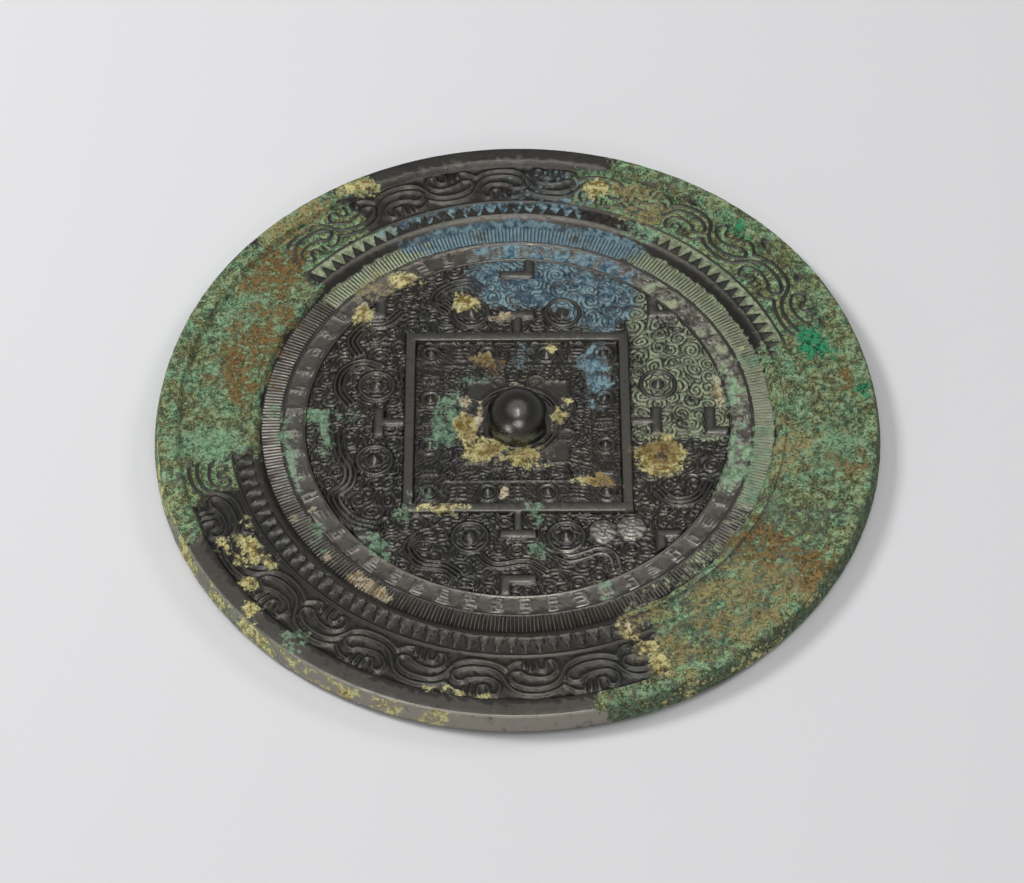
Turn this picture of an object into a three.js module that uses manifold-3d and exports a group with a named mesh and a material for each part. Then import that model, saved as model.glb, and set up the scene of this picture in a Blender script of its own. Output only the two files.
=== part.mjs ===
// A cast bronze mirror of the Han type, lying with its reflecting face down and its ornament up.
// Millimetres, +Z up. The origin is at the middle of the underside, at its lowest point.
// The central square's sides run along X and Y, and the cord hole through the knob runs along X.
import * as THREE from 'three';
import { mergeVertices } from 'three/addons/utils/BufferGeometryUtils.js';
import Module from 'manifold-3d';

// Disc and reflecting face. The face is slightly convex, with a flat spot to rest on.
const EDGE_RADIUS = 95;
const UNDERSIDE_FLAT_RADIUS = 30;
const UNDERSIDE_RISE = 1.2;
const BOTTOM_ROUND = 0.8;
const RING_SIDES = 60;

// Heights of the levels over the lower edge of the side wall
const RIM_HEIGHT = 5.8;
const SCROLL_FLOOR_HEIGHT = 4.3;
const SAW_FLOOR_HEIGHT = 4.0;
const PLAIN_BAND_HEIGHT = 4.7;
const COMB_FLOOR_HEIGHT = 2.3;
const BAND_HEIGHT = 2.2;
const FIELD_HEIGHT = 1.7;

// Radii of the rings, from the outside in
const RIM_WALL_SLANT = 1.4;
const RIM_INNER_RADIUS = 88.8;
const STEP_SLANT = 0.4;
const SCROLL_LINE_RADIUS = 75.4;
const SAW_TIP_RADIUS = 74.2;
const SAW_ROOT_RADIUS = 70;
const PLAIN_BAND_INNER_RADIUS = 68.6;
const COMB_OUTER_RADIUS = 66.9;
const BAND_OUTER_RADIUS = 61.7;
const BAND_INNER_RADIUS = 55.8;
const LINE_HALF_WIDTH = 0.5;
const LINE_RISE = 0.5;

// Sawtooth ring: raised teeth that point outward from the plain band
const SAW_TEETH = 130;

// Running scroll between the rim and the sawtooth: a raised ribbon with a curl in each bend
const SCROLL_WAVES = 18;
const SCROLL_CREST_ANGLE = THREE.MathUtils.degToRad(12.7);
const SCROLL_MIDDLE_RADIUS = 82;
const SCROLL_SWING = 3.3;
const SCROLL_RIBBON = 3;
const SCROLL_STEPS = 8;
const SCROLL_RISE = 0.6;
const CURL_OFFSET = 2.2;
const CURL_START_RADIUS = 2.5;
const CURL_END_RADIUS = 1.2;
const CURL_TURN = THREE.MathUtils.degToRad(330);
const CURL_STEPS = 7;
const CURL_WIDTH = 0.9;

// Knob, pierced for a cord, with the ring and the four leaves round its foot
const KNOB_RADIUS = 8.4;
const KNOB_FOOT_HEIGHT = 1.6;
const KNOB_SIDES = 28;
const KNOB_RINGS = 6;
const CORD_HOLE_WIDTH = 6.2;
const CORD_HOLE_WALL = 2.8;
const CORD_HOLE_HEIGHT = 5.2;
const CORD_HOLE_STEPS = 8;
const CORD_WAY_CLEARANCE = 1.2;
const KNOB_RING_RADIUS = 10.4;
const KNOB_RING_SIDES = 28;
const CALYX_RADIUS = 12;
const LEAF_RISE = 0.5;
const LEAF_REACH = 20.5;
const LEAF_LOBE_DISTANCE = 12.6;
const LEAF_LOBE_OFFSET = 5.4;
const LEAF_LOBE_RADIUS = 3.1;
const LEAF_LOBE_START = THREE.MathUtils.degToRad(150);
const LEAF_LOBE_END = THREE.MathUtils.degToRad(32);
const LEAF_STEPS = 5;

// Square frame round the knob, and its twelve small bosses
const FRAME_HALF = 29.9;
const FRAME_BAR = 3.1;
const FRAME_RISE = 1.4;
const FRAME_BEVEL = 0.5;
const SMALL_BOSS_CLEARANCE = 1.3;
const SMALL_BOSS_NEAR = 7.7;
const SMALL_BOSS_RADIUS = 2.6;
const SMALL_BOSS_RISE = 0.4;
const SMALL_CONE_RADIUS = 1.6;
const SMALL_CONE_RISE = 1.7;
const SMALL_BOSS_SIDES = 9;

// Eight large bosses in the main field
const LARGE_BOSS_CLEARANCE = 2.1;
const LARGE_BOSS_OFFSET = 12.3;
const LARGE_BOSS_RADIUS = 5.2;
const LARGE_BOSS_RISE = 0.6;
const LARGE_CONE_RADIUS = 2.2;
const LARGE_CONE_RISE = 2.4;
const LARGE_BOSS_SIDES = 12;

// Marks of the game board, in the shapes of a T, an L and a V
const MARK_WIDTH = 3;
const MARK_RISE = 0.9;
const MARK_BEVEL = 0.35;
const MARK_BAR_LENGTH = 9.6;
const T_STEM_WIDTH = 2.6;
const T_STEM_LENGTH = 5;
const L_ARM_LENGTH = 3.8;
const V_ARM_LENGTH = 8.45;

// What is set on a floor goes this far below it, so that the two join into one casting
const SINK = 0.4;

const wasm = await Module();
wasm.setup();

const level = (height) => UNDERSIDE_RISE + height;

// Shapes to solids, and back
function solidOf(geometry) {
  const plain = geometry.index ? geometry.toNonIndexed() : geometry.clone();
  plain.deleteAttribute('normal');
  plain.deleteAttribute('uv');
  const merged = mergeVertices(plain, 1e-4);
  return new wasm.Manifold(new wasm.Mesh({
    numProp: 3,
    vertProperties: new Float32Array(merged.attributes.position.array),
    triVerts: new Uint32Array(merged.index.array),
  }));
}

function geometryOf(solid) {
  const mesh = solid.getMesh();
  const geometry = new THREE.BufferGeometry();
  geometry.setAttribute('position', new THREE.BufferAttribute(mesh.vertProperties, 3));
  geometry.setIndex(new THREE.BufferAttribute(mesh.triVerts, 1));
  geometry.computeVertexNormals();
  return geometry;
}

function turned(profile, sides) {
  const points = profile.map(([radius, height]) => new THREE.Vector2(radius, height));
  return solidOf(new THREE.LatheGeometry(points, sides).rotateX(Math.PI / 2));
}

// A flat-topped piece with sloping edges, from an outline. It stands on a floor and is sunk into it.
function plaque(outline, floor, rise, bevel, holes = []) {
  const shape = new THREE.Shape(outline);
  shape.holes = holes.map((hole) => new THREE.Path(hole));
  const geometry = new THREE.ExtrudeGeometry(shape, {
    depth: SINK + rise - bevel,
    bevelEnabled: bevel > 0,
    bevelThickness: bevel,
    bevelSize: bevel,
    bevelOffset: -bevel,
    bevelSegments: 1,
    curveSegments: 1,
  });
  return solidOf(geometry.translate(0, 0, floor - SINK));
}

// A raised line along a path, with a section like a low roof
function ridge(path, floor, width, rise, closed = false) {
  const half = width / 2;
  const count = path.length;
  const positions = [];
  const index = [];
  for (let i = 0; i < count; i += 1) {
    const before = path[closed ? (i + count - 1) % count : Math.max(i - 1, 0)];
    const after = path[closed ? (i + 1) % count : Math.min(i + 1, count - 1)];
    const side = after.clone().sub(before).normalize().rotateAround(new THREE.Vector2(), Math.PI / 2);
    // The section's foot is wider than the line by its slope below the floor
    const foot = half * (1 + SINK / rise);
    positions.push(path[i].x + side.x * foot, path[i].y + side.y * foot, floor - SINK);
    positions.push(path[i].x - side.x * foot, path[i].y - side.y * foot, floor - SINK);
    positions.push(path[i].x, path[i].y, floor + rise);
  }
  const spans = closed ? count : count - 1;
  for (let i = 0; i < spans; i += 1) {
    const a = 3 * i;
    const b = 3 * ((i + 1) % count);
    for (const [from, to] of [[1, 0], [2, 1], [0, 2]]) {
      index.push(a + from, a + to, b + to, a + from, b + to, b + from);
    }
  }
  if (!closed) {
    const last = 3 * (count - 1);
    index.push(0, 1, 2, last, last + 2, last + 1);
  }
  const geometry = new THREE.BufferGeometry();
  geometry.setAttribute('position', new THREE.Float32BufferAttribute(positions, 3));
  geometry.setIndex(index);
  return solidOf(geometry);
}

function polar(radius, angle) {
  return new THREE.Vector2(radius * Math.cos(angle), radius * Math.sin(angle));
}

function turnedBy(points, angle) {
  return points.map((point) => point.clone().rotateAround(new THREE.Vector2(), angle));
}

function quarterTurns(make) {
  return [0, 1, 2, 3].flatMap((quarter) => make(quarter * Math.PI / 2));
}

// The disc, with the steps and thin lines that run all the way round
function disc() {
  const raisedLine = (radius, outerFloor, innerFloor) => [
    [radius + LINE_HALF_WIDTH, level(outerFloor)],
    [radius, level(Math.max(outerFloor, innerFloor) + LINE_RISE)],
    [radius - LINE_HALF_WIDTH, level(innerFloor)],
  ];
  const undersideEdge = EDGE_RADIUS - BOTTOM_ROUND;
  const curved = (undersideEdge - UNDERSIDE_FLAT_RADIUS);
  const underside = [0.5, 1].map((share) => [
    UNDERSIDE_FLAT_RADIUS + curved * share,
    UNDERSIDE_RISE * share ** 2,
  ]);
  return turned([
    [0, 0],
    [UNDERSIDE_FLAT_RADIUS, 0],
    ...underside,
    [EDGE_RADIUS, level(BOTTOM_ROUND)],
    [EDGE_RADIUS - RIM_WALL_SLANT, level(RIM_HEIGHT)],
    [RIM_INNER_RADIUS, level(RIM_HEIGHT)],
    [RIM_INNER_RADIUS - STEP_SLANT, level(SCROLL_FLOOR_HEIGHT)],
    ...raisedLine(SCROLL_LINE_RADIUS, SCROLL_FLOOR_HEIGHT, SAW_FLOOR_HEIGHT),
    [SAW_ROOT_RADIUS - SINK, level(SAW_FLOOR_HEIGHT)],
    [COMB_OUTER_RADIUS + SINK, level(COMB_FLOOR_HEIGHT)],
    ...raisedLine(BAND_OUTER_RADIUS, COMB_FLOOR_HEIGHT, BAND_HEIGHT),
    ...raisedLine(BAND_INNER_RADIUS, BAND_HEIGHT, FIELD_HEIGHT),
    [0, level(FIELD_HEIGHT)],
  ], RING_SIDES);
}

// The plain band and its teeth are one ring, whose inner side slopes down to the comb ring
function sawtoothRing() {
  const outline = [];
  for (let tooth = 0; tooth < SAW_TEETH; tooth += 1) {
    outline.push(polar(SAW_ROOT_RADIUS, (tooth - 0.5) * 2 * Math.PI / SAW_TEETH));
    outline.push(polar(SAW_TIP_RADIUS, tooth * 2 * Math.PI / SAW_TEETH));
  }
  const rise = PLAIN_BAND_HEIGHT - COMB_FLOOR_HEIGHT;
  const slope = (PLAIN_BAND_INNER_RADIUS - COMB_OUTER_RADIUS) / rise;
  const foot = level(COMB_FLOOR_HEIGHT) - 2 * SINK;
  const top = level(PLAIN_BAND_HEIGHT) + SINK;
  const basin = turned([
    [0, foot],
    [COMB_OUTER_RADIUS - 2 * SINK * slope, foot],
    [PLAIN_BAND_INNER_RADIUS + SINK * slope, top],
    [0, top],
  ], RING_SIDES);
  return plaque(outline, level(COMB_FLOOR_HEIGHT), rise, 0).subtract(basin);
}

function scrollRadius(angle, offset) {
  return SCROLL_MIDDLE_RADIUS + offset + SCROLL_SWING * Math.cos(SCROLL_WAVES * (angle - SCROLL_CREST_ANGLE));
}

// One curl, wound inward from the ribbon's side of a bend
function curl(angle, outward) {
  const centreRadius = SCROLL_MIDDLE_RADIUS - outward * CURL_OFFSET;
  const centre = polar(centreRadius, angle);
  const path = [];
  for (let i = 0; i <= CURL_STEPS; i += 1) {
    const share = i / CURL_STEPS;
    const radius = THREE.MathUtils.lerp(CURL_START_RADIUS, CURL_END_RADIUS, share);
    const start = outward > 0 ? Math.PI / 2 : -Math.PI / 2;
    const turn = angle - Math.PI / 2 + start - CURL_TURN * (share - 0.25);
    path.push(polar(radius, turn).add(centre));
  }
  return path;
}

function scrollBand() {
  const floor = level(SCROLL_FLOOR_HEIGHT);
  const steps = SCROLL_WAVES * SCROLL_STEPS;
  const edges = [SCROLL_RIBBON / 2, -SCROLL_RIBBON / 2].map((offset) => (
    Array.from({ length: steps }, (_, i) => {
      const angle = SCROLL_CREST_ANGLE + (i + 0.5) * 2 * Math.PI / steps;
      return polar(scrollRadius(angle, offset), angle);
    })
  ));
  const pieces = [plaque(edges[0], floor, SCROLL_RISE, 0, [edges[1].reverse()])];
  for (let bend = 0; bend < 2 * SCROLL_WAVES; bend += 1) {
    const outward = bend % 2 === 0 ? 1 : -1;
    const angle = SCROLL_CREST_ANGLE + bend * Math.PI / SCROLL_WAVES;
    pieces.push(ridge(curl(angle, outward), floor, CURL_WIDTH, SCROLL_RISE));
  }
  return pieces;
}

function knob() {
  const floor = level(FIELD_HEIGHT);
  const middle = floor + KNOB_FOOT_HEIGHT;
  const profile = [[0, floor - SINK], [KNOB_RADIUS, floor - SINK], [KNOB_RADIUS, middle]];
  for (let i = 1; i < KNOB_RINGS; i += 1) {
    const rise = i / KNOB_RINGS * Math.PI / 2;
    profile.push([KNOB_RADIUS * Math.cos(rise), middle + KNOB_RADIUS * Math.sin(rise)]);
  }
  profile.push([0, middle + KNOB_RADIUS]);
  return turned(profile, KNOB_SIDES);
}

// The hole for the cord: straight walls under an arch. Its floor is the calyx, and its way out cuts the ring.
function cordHole() {
  const half = CORD_HOLE_WIDTH / 2;
  const outline = [new THREE.Vector2(half, 0)];
  for (let i = 0; i <= CORD_HOLE_STEPS; i += 1) {
    const angle = i / CORD_HOLE_STEPS * Math.PI;
    const arch = (CORD_HOLE_HEIGHT - CORD_HOLE_WALL) * Math.sin(angle);
    outline.push(new THREE.Vector2(half * Math.cos(angle), CORD_HOLE_WALL + arch));
  }
  outline.push(new THREE.Vector2(-half, 0));
  const length = 2 * (KNOB_RING_RADIUS + CORD_WAY_CLEARANCE);
  const shape = new THREE.Shape(outline);
  const geometry = new THREE.ExtrudeGeometry(shape, { depth: length, bevelEnabled: false });
  geometry.translate(0, 0, -length / 2).rotateX(Math.PI / 2).rotateZ(Math.PI / 2);
  return solidOf(geometry.translate(0, 0, level(FIELD_HEIGHT + LEAF_RISE)));
}

// A low calyx of four leaves that point to the square's corners, each with two round lobes at its foot
function calyx() {
  const lobe = new THREE.Vector2(LEAF_LOBE_DISTANCE, -LEAF_LOBE_OFFSET);
  const lower = [];
  for (let i = 0; i <= LEAF_STEPS; i += 1) {
    const turn = THREE.MathUtils.lerp(LEAF_LOBE_START, LEAF_LOBE_END, i / LEAF_STEPS);
    lower.push(polar(LEAF_LOBE_RADIUS, -turn).add(lobe));
  }
  const upper = lower.map((point) => new THREE.Vector2(point.x, -point.y)).reverse();
  const leaf = [polar(CALYX_RADIUS, -Math.PI / 4), ...lower, new THREE.Vector2(LEAF_REACH, 0), ...upper];
  const outline = quarterTurns((turn) => turnedBy(leaf, turn + Math.PI / 4));
  return plaque(outline, level(FIELD_HEIGHT), LEAF_RISE, 0);
}

function knobRing() {
  const path = Array.from({ length: KNOB_RING_SIDES }, (_, i) => (
    polar(KNOB_RING_RADIUS, (i + 0.5) * 2 * Math.PI / KNOB_RING_SIDES)
  ));
  return ridge(path, level(FIELD_HEIGHT + LEAF_RISE), LINE_HALF_WIDTH * 2, LINE_RISE, true);
}

function rectangle(x0, y0, x1, y1) {
  return [[x0, y0], [x1, y0], [x1, y1], [x0, y1]].map(([x, y]) => new THREE.Vector2(x, y));
}

function squareFrame() {
  const inner = FRAME_HALF - FRAME_BAR;
  const outline = rectangle(-FRAME_HALF, -FRAME_HALF, FRAME_HALF, FRAME_HALF);
  const hole = rectangle(-inner, -inner, inner, inner).reverse();
  return plaque(outline, level(FIELD_HEIGHT), FRAME_RISE, FRAME_BEVEL, [hole]);
}

// A boss: a low round seat with a pointed cone on it
function boss(place, sides, [radius, rise, coneRadius, coneRise]) {
  const floor = level(FIELD_HEIGHT);
  const profile = [
    [0, floor - SINK],
    [radius, floor - SINK],
    [radius - rise / 2, floor + rise],
    [coneRadius, floor + rise / 2],
    [0, floor + coneRise],
  ];
  return turned(profile, sides).translate([place.x, place.y, 0]);
}

function smallBosses() {
  const distance = FRAME_HALF - FRAME_BAR - SMALL_BOSS_CLEARANCE - SMALL_BOSS_RADIUS;
  const across = [-distance, -SMALL_BOSS_NEAR, SMALL_BOSS_NEAR];
  const sizes = [SMALL_BOSS_RADIUS, SMALL_BOSS_RISE, SMALL_CONE_RADIUS, SMALL_CONE_RISE];
  const row = across.map((x) => new THREE.Vector2(x, distance));
  return quarterTurns((turn) => turnedBy(row, turn).map((place) => boss(place, SMALL_BOSS_SIDES, sizes)));
}

function largeBosses() {
  const across = [-LARGE_BOSS_OFFSET, LARGE_BOSS_OFFSET];
  const sizes = [LARGE_BOSS_RADIUS, LARGE_BOSS_RISE, LARGE_CONE_RADIUS, LARGE_CONE_RISE];
  const distance = FRAME_HALF + LARGE_BOSS_CLEARANCE + LARGE_BOSS_RADIUS;
  const row = across.map((x) => new THREE.Vector2(x, distance));
  return quarterTurns((turn) => turnedBy(row, turn).map((place) => boss(place, LARGE_BOSS_SIDES, sizes)));
}

// The T stands on the frame, the L hangs from the band opposite it, and the V faces the frame's corner
function marks() {
  const floor = level(FIELD_HEIGHT);
  const halfBar = MARK_BAR_LENGTH / 2;
  const halfStem = T_STEM_WIDTH / 2;
  const barFoot = FRAME_HALF + T_STEM_LENGTH;
  const corners = (list) => list.map(([x, y]) => new THREE.Vector2(x, y));
  const stemFoot = FRAME_HALF - FRAME_BAR / 2;
  const letterT = corners([
    [-halfStem, stemFoot], [halfStem, stemFoot], [halfStem, barFoot], [halfBar, barFoot],
    [halfBar, barFoot + MARK_WIDTH], [-halfBar, barFoot + MARK_WIDTH], [-halfBar, barFoot],
    [-halfStem, barFoot],
  ]);
  const armFoot = BAND_INNER_RADIUS - L_ARM_LENGTH;
  const letterL = corners([
    [-halfBar, armFoot - MARK_WIDTH], [halfBar, armFoot - MARK_WIDTH], [halfBar, BAND_INNER_RADIUS],
    [halfBar - MARK_WIDTH, BAND_INNER_RADIUS], [halfBar - MARK_WIDTH, armFoot], [-halfBar, armFoot],
  ]);
  // The V's corner is where its inner side is one arm's length from the band
  const near = (Math.sqrt(2 * BAND_INNER_RADIUS ** 2 - V_ARM_LENGTH ** 2) - V_ARM_LENGTH) / 2;
  const far = near + MARK_WIDTH;
  const bandNear = Math.sqrt(BAND_INNER_RADIUS ** 2 - near ** 2);
  const bandFar = Math.sqrt(BAND_INNER_RADIUS ** 2 - far ** 2);
  const letterV = corners([
    [near, near], [bandNear, near], [bandFar, far], [far, far], [far, bandFar], [near, bandNear],
  ]);
  return quarterTurns((turn) => [letterT, letterL, letterV].map((letter) => (
    plaque(turnedBy(letter, turn), floor, MARK_RISE, MARK_BEVEL)
  )));
}

function casting() {
  const solid = wasm.Manifold.union([
    disc(),
    sawtoothRing(),
    ...scrollBand(),
    knob(),
    knobRing(),
    calyx(),
    squareFrame(),
    ...smallBosses(),
    ...largeBosses(),
    ...marks(),
  ]);
  return solid.subtract(cordHole());
}

const bronze = new THREE.MeshStandardMaterial({ color: 0x46423e, roughness: 0.42, metalness: 0.85 });
bronze.name = 'bronze';

const mirror = new THREE.Mesh(geometryOf(casting()), bronze);
mirror.name = 'mirror';

const group = new THREE.Group();
group.add(mirror);
export default group;
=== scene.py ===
"""An ancient bronze mirror of the Han type, lying with its ornamented side up.

The casting is one mesh. Its rows run round the middle, from the top of the knob out to the rim and back
below, and follow the sides of the square frame near it. Relief is added to the rows as heights, in
millimetres.
"""
import math
from functools import reduce

import bpy
import numpy as np
from mathutils import Matrix, Vector


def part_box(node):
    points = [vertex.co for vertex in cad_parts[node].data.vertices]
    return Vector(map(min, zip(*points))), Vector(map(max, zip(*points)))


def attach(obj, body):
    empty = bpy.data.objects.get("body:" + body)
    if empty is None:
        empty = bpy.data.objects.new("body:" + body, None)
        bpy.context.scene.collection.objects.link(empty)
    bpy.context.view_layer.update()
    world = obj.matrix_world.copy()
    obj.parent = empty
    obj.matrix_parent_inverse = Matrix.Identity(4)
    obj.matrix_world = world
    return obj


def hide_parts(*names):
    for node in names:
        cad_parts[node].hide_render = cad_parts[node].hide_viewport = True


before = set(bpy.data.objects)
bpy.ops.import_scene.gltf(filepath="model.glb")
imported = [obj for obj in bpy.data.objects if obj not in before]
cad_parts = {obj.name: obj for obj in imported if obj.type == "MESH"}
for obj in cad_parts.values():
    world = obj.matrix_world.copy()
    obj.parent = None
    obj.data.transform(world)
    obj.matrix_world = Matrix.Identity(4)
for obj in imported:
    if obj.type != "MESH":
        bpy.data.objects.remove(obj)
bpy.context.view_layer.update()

MM = 0.001
EDGE_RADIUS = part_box("mirror")[1][0] / MM

# Underside
UNDERSIDE_FLAT_RADIUS = 30
UNDERSIDE_RISE = 1.2
BOTTOM_ROUND = 0.8

# Heights over the lower edge of the side wall
RIM_HEIGHT = 5.8
SCROLL_FLOOR = 4.3
SAW_FLOOR = 4.2
PLAIN_BAND_HEIGHT = 4.7
COMB_FLOOR = 2.3
BAND_HEIGHT = 2.2
FIELD_HEIGHT = 1.7

# Radii
RIM_WALL_SLANT = 1.4
RIM_INNER = 88.8
SCROLL_LINE = 75.4
SAW_TIP = 74.2
SAW_ROOT = 70.0
PLAIN_BAND_INNER = 68.6
COMB_OUTER = 66.9
COMB_INNER = 62.3
BAND_OUTER = 61.7
BAND_INNER = 55.8
LINE_HALF_WIDTH = 0.45
LINE_RISE = 0.5

SAW_TEETH = 130
COMB_TEETH = 412
COMB_RISE = 0.5

# Running scroll
SCROLL_WAVES = 18
SCROLL_CREST = 12.7
SCROLL_MIDDLE = 82.0
SCROLL_LINE_WIDTH = 1.25
SCROLL_RISE = 0.62

INSCRIPTION_WIDTH = 0.5
INSCRIPTION_RISE = 0.2

SMALL_STROKE_WIDTH = 0.6
SMALL_STROKE_RISE = 0.4

# Knob and the square round it
KNOB_RADIUS = 8.4
KNOB_FOOT = 1.6
HOLE_WIDTH = 6.2
HOLE_WALL = 2.8
HOLE_HEIGHT = 5.2
RING_RADIUS = 10.4
SEAT_RADIUS = 15
LEAF_RISE = 0.5
FRAME_HALF = 29.9
FRAME_BAR = 3.1
FRAME_ROUND = 0.6
FRAME_RISE = 1.4
MARK_ROUND = 1.1
MARK_RISE = 0.95
INNER_LINE = 19.2
BOSS_ROW = FRAME_HALF - FRAME_BAR - 1.3 - 2.6
BOSS_NEAR = 7.7
LARGE_BOSS_ROW = FRAME_HALF + 2.1 + 5.2
LARGE_BOSS_OFFSET = 12.3

# Places are turned by quarters, each given as a cosine and a sine
QUARTERS = [(1, 0), (0, 1), (-1, 0), (0, -1)]

# Samples round the middle and between the rows, and what is kept of the mesh
COLUMNS = COMB_TEETH * 6
ROW_STEP = 0.21
TRIANGLES = 190000
SHARP_ANGLE = 75


def level(height):
    return UNDERSIDE_RISE + height


# Noise: smooth random values on a lattice, the same in each run
LATTICE = np.random.default_rng(206).random((256, 256))


def noise(x, y, size, shift=0.0):
    """Values from 0 to 1 that change over about size millimetres."""
    u = x / size + 91.7 + shift
    v = y / size + 37.3 + 2.1 * shift
    column, row = np.floor(u).astype(int), np.floor(v).astype(int)
    s, t = u - column, v - row
    s, t = s * s * (3 - 2 * s), t * t * (3 - 2 * t)
    corner = [LATTICE[(row + i) % 256, (column + j) % 256] for i in (0, 1) for j in (0, 1)]
    return (corner[0] * (1 - s) + corner[1] * s) * (1 - t) + (corner[2] * (1 - s) + corner[3] * s) * t


def rough(x, y, size, octaves=3, shift=0.0):
    """Noise with finer noise on it, from about -1 to 1."""
    total = 0.0
    for octave in range(octaves):
        total = total + (noise(x, y, size / 2 ** octave, shift + 5.3 * octave) - 0.5) / 2 ** octave
    return 2 * total


def step(value, low, high):
    """A smooth change from 0 to 1 as value goes from low to high."""
    share = np.clip((value - low) / (high - low), 0, 1)
    return share * share * (3 - 2 * share)


def wrapped(angle):
    return (angle + 180) % 360 - 180


class Places:
    """Where the heights are wanted: x and y, and the same places as angle (degrees) and radius."""

    def __init__(self, x, y):
        self.x, self.y = x, y
        self.radius = np.hypot(x, y)
        self.angle = np.degrees(np.arctan2(y, x))


# Strokes: raised lines along paths
def smooth_path(points, steps=6):
    """A curve through the points (Catmull-Rom)."""
    points = np.asarray(points, float)
    padded = np.vstack([2 * points[0] - points[1], points, 2 * points[-1] - points[-2]])
    a, b, c, d = padded[:-3], padded[1:-2], padded[2:-1], padded[3:]
    square, cube = 2 * a - 5 * b + 4 * c - d, 3 * b - a - 3 * c + d
    shares = np.arange(steps) / steps
    rows = [0.5 * (2 * b + (c - a) * t + square * t ** 2 + cube * t ** 3) for t in shares]
    curve = np.stack(rows, 1).reshape(-1, 2)
    return np.vstack([curve, points[-1]])


def distance_to(path, x, y, reach):
    """For the places within reach of the path: which they are, and how far from it."""
    low, high = path.min(0) - reach, path.max(0) + reach
    near = np.nonzero((x > low[0]) & (x < high[0]) & (y > low[1]) & (y < high[1]))[0]
    px, py = x[near], y[near]
    best = np.full(len(near), reach * 2.0)
    for (ax, ay), (bx, by) in zip(path[:-1], path[1:]):
        dx, dy = bx - ax, by - ay
        along = np.clip(((px - ax) * dx + (py - ay) * dy) / (dx * dx + dy * dy + 1e-9), 0, 1)
        np.minimum(best, np.hypot(px - ax - along * dx, py - ay - along * dy), out=best)
    return near, best


def stroke(height, x, y, path, width, rise):
    """Raises height by a round-topped line along the path."""
    near, away = distance_to(np.asarray(path, float), x, y, width)
    top = rise * np.clip(1 - (away / (0.62 * width)) ** 2, 0, 1)
    height[near] = np.maximum(height[near], top)


def rounded(inside, half, rise):
    """The section of a bar with a round top; inside is how far a place is from its edge."""
    share = np.clip(inside / half, 0, 1)
    return rise * np.sqrt(share * (2 - share))


def turned(path, quarter):
    c, s = QUARTERS[quarter]
    path = np.asarray(path, float)
    return np.stack([c * path[:, 0] - s * path[:, 1], s * path[:, 0] + c * path[:, 1]], 1)


def in_each_quarter(points):
    return [tuple(point) for quarter in range(4) for point in turned(points, quarter)]


# Rings between the field and the rim
def ring_profile(radius):
    """Height of the plain casting over the lower edge, without what is set on it."""
    corners = [
        (BAND_INNER - 0.5, FIELD_HEIGHT), (BAND_INNER + 0.5, BAND_HEIGHT), (BAND_OUTER, BAND_HEIGHT),
        (BAND_OUTER + 0.4, COMB_FLOOR), (COMB_OUTER, COMB_FLOOR), (PLAIN_BAND_INNER, PLAIN_BAND_HEIGHT),
        (SAW_ROOT, PLAIN_BAND_HEIGHT), (SAW_ROOT + 0.01, SAW_FLOOR), (SCROLL_LINE, SAW_FLOOR),
        (SCROLL_LINE + 0.4, SCROLL_FLOOR), (RIM_INNER - 0.5, SCROLL_FLOOR), (RIM_INNER + 0.15, RIM_HEIGHT),
    ]
    radii, heights = zip(*corners)
    return np.interp(radius, radii, heights)


def thin_line(radius, at):
    return LINE_RISE * (1 - step(np.abs(radius - at), 0.1, LINE_HALF_WIDTH + 0.1))


def saw_teeth(p):
    """Teeth that point outward, level with the plain band."""
    share = np.abs((p.angle * SAW_TEETH / 360) % 1 - 0.5) * 2
    inside = (SAW_TIP - p.radius) / (SAW_TIP - SAW_ROOT) - (1 - share)
    tooth = step(inside, -0.02, 0.1) * (p.radius > SAW_ROOT - 0.1) * (p.radius < SAW_TIP + 0.2)
    return (PLAIN_BAND_HEIGHT - SAW_FLOOR) * tooth


def comb_teeth(p):
    wave = 0.5 + 0.5 * np.cos(np.radians(p.angle * COMB_TEETH))
    inner_end = step(p.radius, COMB_INNER - 0.25, COMB_INNER + 0.15)
    outer_end = 1 - step(p.radius, COMB_OUTER - 0.1, COMB_OUTER + 0.5)
    return COMB_RISE * step(wave, 0.45, 0.95) * inner_end * outer_end


# One bend of the scroll, as degrees past the bend and millimetres to its outside. The hook starts inside
# the bend, runs over to be the outer line of the next bend and ends there in a flick.
HOOK = [
    (-1.6, -0.9), (-2.3, -1.8), (-3.4, -1.8), (-4.2, -0.8), (-4.0, 0.6), (-2.9, 1.8), (-1.2, 2.6), (0.8, 2.8),
    (2.7, 2.3), (4.2, 0.9), (5.1, -1.2), (6.2, -3.3), (8.0, -4.5), (10.5, -4.8), (13.2, -4.1), (15.0, -2.7),
]
FLICK = [(15.0, -2.7), (15.6, -3.6), (16.5, -4.6), (17.6, -5.0)]
CURL = [
    (-1.5, -0.9), (-0.2, -0.3), (1.3, 0.0), (2.9, -0.5), (4.1, -2.0), (4.1, -3.7), (3.3, -5.0), (2.4, -4.6),
    (2.3, -3.3), (1.7, -2.3), (0.8, -2.5), (0.5, -3.6), (0.5, -5.1),
]
TUFTS = [[(-0.6, -2.6), (-0.8, -5.1)], [(-1.7, -3.4), (-1.9, -5.1)]]
BEND_LINES = [(HOOK, 1.0), (FLICK, 0.85), (CURL, 0.8)] + [(tuft, 0.7) for tuft in TUFTS]
UPPER_RIGHT_SHIFT = 2.8
UPPER_RIGHT_MIDDLE = 45
UPPER_RIGHT_SPREAD = 22


def where_chosen(chosen, heights, *places):
    """Heights that are worked out at the chosen places only, and are 0 elsewhere."""
    result = np.zeros(chosen.shape)
    result[chosen] = heights(*[values[chosen] for values in places])
    return result


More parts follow.
